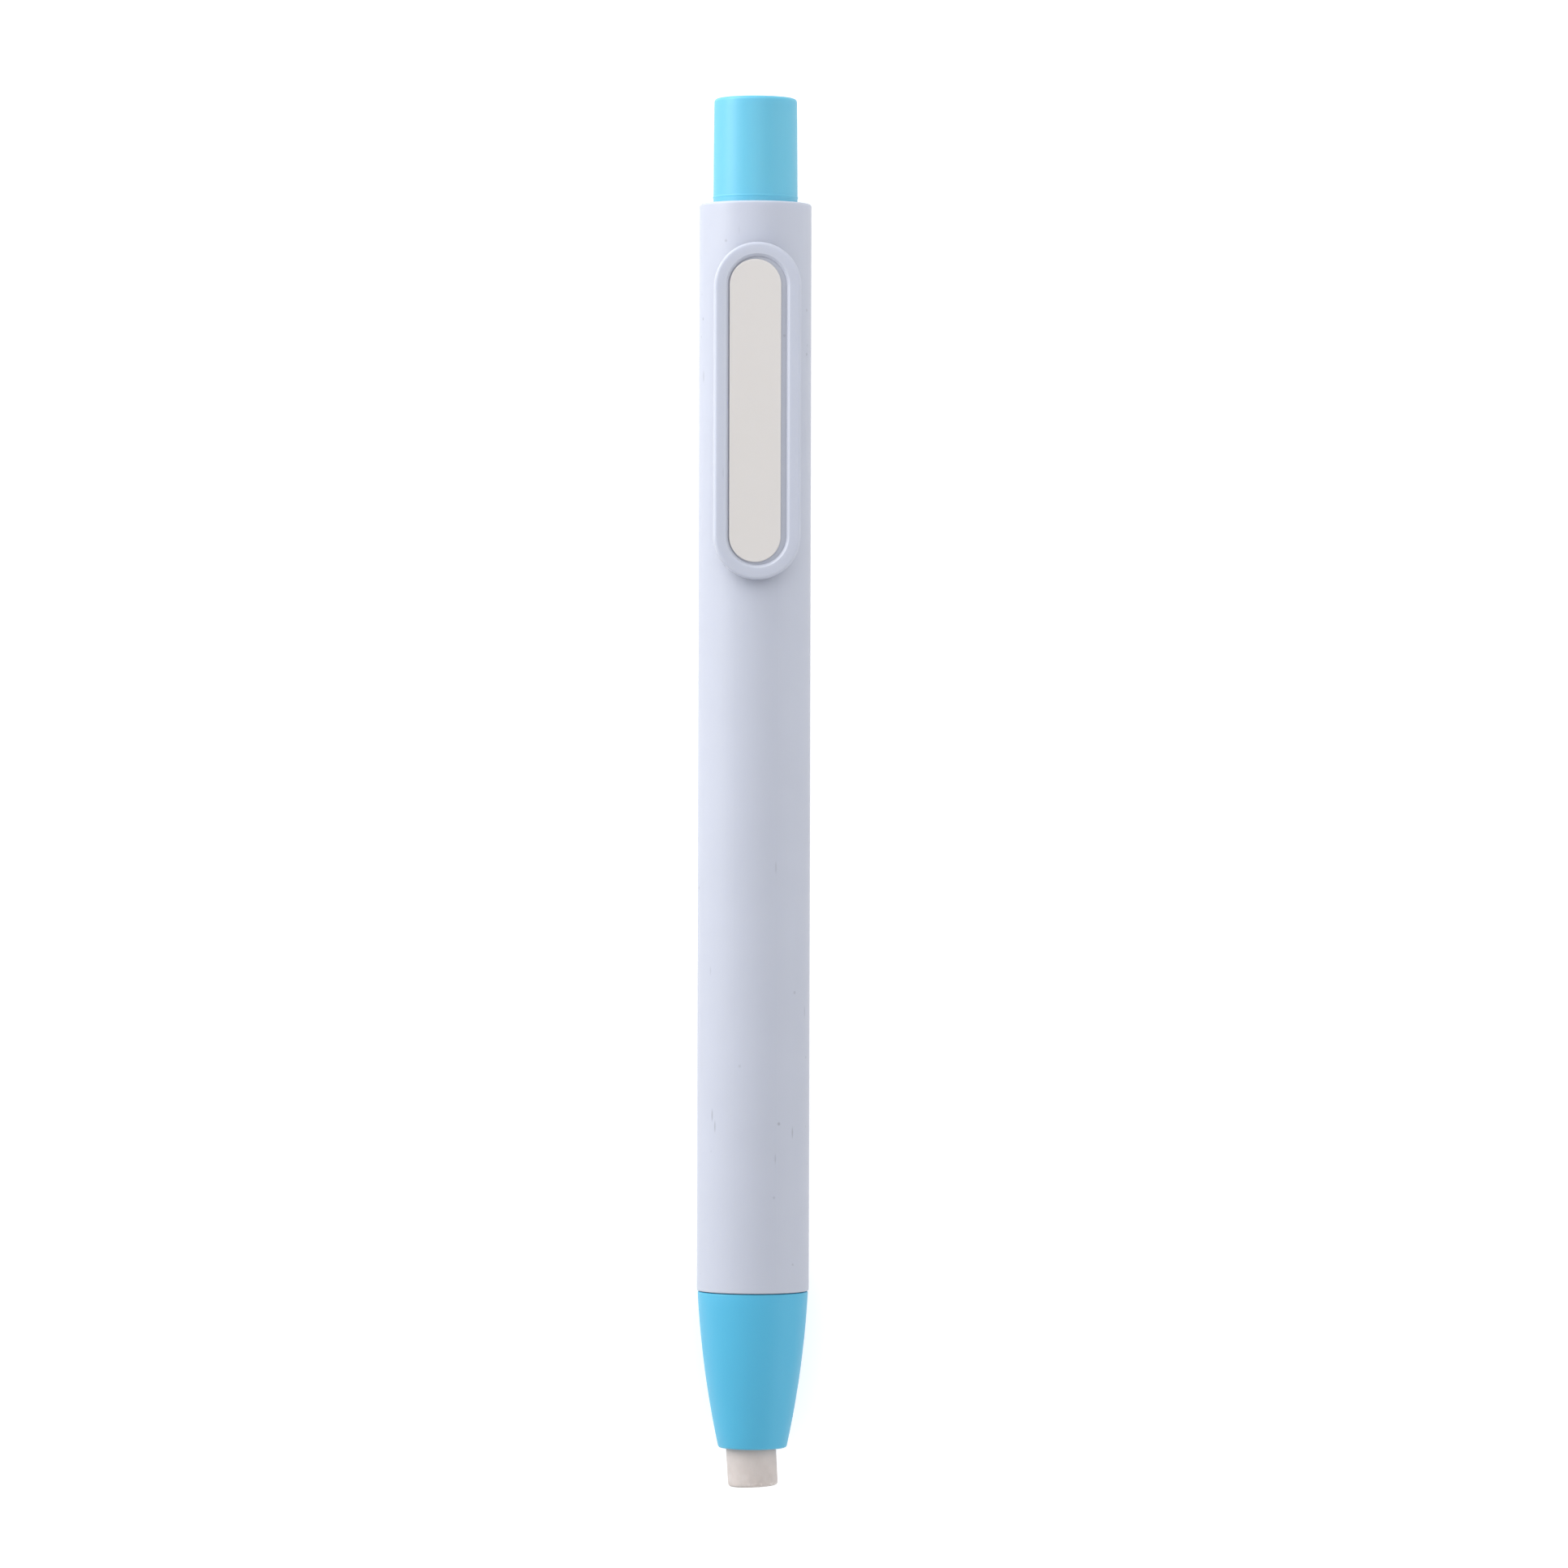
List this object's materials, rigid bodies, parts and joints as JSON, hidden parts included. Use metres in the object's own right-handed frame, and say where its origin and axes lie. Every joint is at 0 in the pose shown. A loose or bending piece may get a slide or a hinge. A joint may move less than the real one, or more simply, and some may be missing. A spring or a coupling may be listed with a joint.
{
  "type": "pencil eraser stick",
  "caption": "Slim push-button eraser pen: round barrel with a stadium-shaped clip, sliding button, tapered nose and a long round eraser gripped by an inner clutch.",
  "frame": {"origin": "middle of the bounding box's bottom face: under the pen's middle, on the surface that the barrel lies on", "axes": "the pen lies along X, its button toward -X and its eraser toward +X; the clip's face looks up, +Z; +Y is the right side of the pen seen from the clip's side with the button up"},
  "size_m": [0.13, 0.0104, 0.0125],
  "materials": {
    "barrel_plastic": "satin moulded plastic, pale lavender grey",
    "accent_plastic": "smooth moulded plastic, light blue",
    "plate_plastic": "off-white satin plate, bare",
    "eraser_vinyl": "off-white vinyl eraser, worn at the tip",
    "inner_plastic": "natural white moulded plastic",
    "ring_brass": "turned brass",
    "spring_steel": "drawn spring wire"
  },
  "bodies": {
    "barrel": {"barrel": "barrel_plastic", "clutch_housing": "inner_plastic"},
    "clip": {"clip": "barrel_plastic", "clip_plate": "plate_plastic"},
    "nose": {"nose_cone": "accent_plastic"},
    "plunger": {"push_button": "accent_plastic", "eraser_tube": "inner_plastic", "collet_body": "inner_plastic", "return_spring": "spring_steel"},
    "clutch_ring": {"clutch_ring": "ring_brass"},
    "eraser": {"eraser_stick": "eraser_vinyl"},
    "jaw_1": {"collet_jaw_1": "inner_plastic"},
    "jaw_2": {"collet_jaw_2": "inner_plastic"},
    "jaw_3": {"collet_jaw_3": "inner_plastic"},
    "jaw_4": {"collet_jaw_4": "inner_plastic"}
  },
  "joints": [
    {"name": "button_press", "type": "slide", "parent": "barrel", "child": "plunger", "axis": [1, 0, 0], "range_m": [0, 0.004], "stiffness_N_per_m": 700, "springref_m": -0.004, "deforming": ["return_spring"]},
    {"name": "clutch_ring_slide", "type": "slide", "parent": "barrel", "child": "clutch_ring", "axis": [1, 0, 0], "range_m": [0, 0.001]},
    {"name": "eraser_feed", "type": "slide", "parent": "clutch_ring", "child": "eraser", "axis": [1, 0, 0], "range_m": [-0.0037, 0.058]},
    {"name": "clip_flex", "type": "hinge", "parent": "barrel", "child": "clip", "pos_m": [-0.044, 0, 0.0101], "axis": [0, -1, 0], "range_deg": [0, 2.5], "stiffness_Nm_per_rad": 2},
    {"name": "nose_off", "type": "slide", "parent": "barrel", "child": "nose", "axis": [1, 0, 0], "range_m": [0, 0.026]},
    {"name": "jaw_1_open", "type": "hinge", "parent": "plunger", "child": "jaw_1", "pos_m": [0.02695, 0.00187, 0.00712], "axis": [0, -0.7071, 0.7071], "range_deg": [0, 1.2]},
    {"name": "jaw_2_open", "type": "hinge", "parent": "plunger", "child": "jaw_2", "pos_m": [0.02695, 0.00187, 0.00338], "axis": [0, 0.7071, 0.7071], "range_deg": [0, 1.2]},
    {"name": "jaw_3_open", "type": "hinge", "parent": "plunger", "child": "jaw_3", "pos_m": [0.02695, -0.00187, 0.00338], "axis": [0, 0.7071, -0.7071], "range_deg": [0, 1.2]},
    {"name": "jaw_4_open", "type": "hinge", "parent": "plunger", "child": "jaw_4", "pos_m": [0.02695, -0.00187, 0.00712], "axis": [0, -0.7071, -0.7071], "range_deg": [0, 1.2]}
  ],
  "couplings": [
    {"joint": "clutch_ring_slide", "follows": "button_press", "ratio": 0.25},
    {"joint": "jaw_1_open", "follows": "button_press", "rad_per_m": 5.23},
    {"joint": "jaw_2_open", "follows": "button_press", "rad_per_m": 5.23},
    {"joint": "jaw_3_open", "follows": "button_press", "rad_per_m": 5.23},
    {"joint": "jaw_4_open", "follows": "button_press", "rad_per_m": 5.23}
  ]
}
